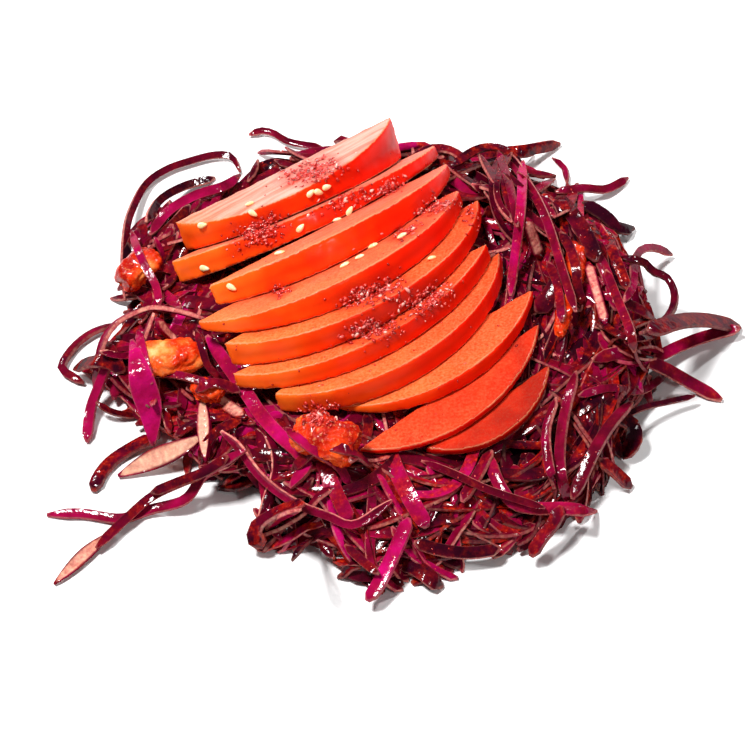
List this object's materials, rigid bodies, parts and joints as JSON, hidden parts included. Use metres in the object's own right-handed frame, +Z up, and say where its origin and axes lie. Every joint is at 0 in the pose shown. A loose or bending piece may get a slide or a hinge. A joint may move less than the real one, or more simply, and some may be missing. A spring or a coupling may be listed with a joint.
{
  "type": "cabbage salad with sliced tomato",
  "caption": "Heap of dressed shredded red cabbage with a fan of tomato slices and a few loose tomato pieces on top.",
  "frame": {"origin": "on the table under the heap, near the middle of what it covers", "axes": "+X along the longest side, to the right of the viewer; +Y away from the viewer, towards the back of the tomato fan; +Z up"},
  "size_m": [0.1707, 0.149, 0.0346],
  "materials": {
    "dressed_cabbage": "wet, dressed red cabbage",
    "tomato_slices": "raw tomato, glossy skin and moist cut faces",
    "tomato_pieces": "dressed raw tomato, wet"
  },
  "bodies": {
    "root": {"cabbage_heap": "dressed_cabbage", "tomato_slice_01": "tomato_slices", "tomato_slice_02": "tomato_slices", "tomato_slice_03": "tomato_slices", "tomato_slice_04": "tomato_slices", "tomato_slice_05": "tomato_slices", "tomato_slice_06": "tomato_slices", "tomato_slice_07": "tomato_slices", "tomato_slice_08": "tomato_slices", "tomato_slice_09": "tomato_slices", "tomato_slice_10": "tomato_slices", "tomato_piece_left": "tomato_pieces", "tomato_piece_small": "tomato_pieces", "tomato_piece_front": "tomato_pieces", "tomato_piece_back": "tomato_pieces", "tomato_piece_right": "tomato_pieces", "tomato_piece_tip": "tomato_pieces"}
  },
  "joints": []
}
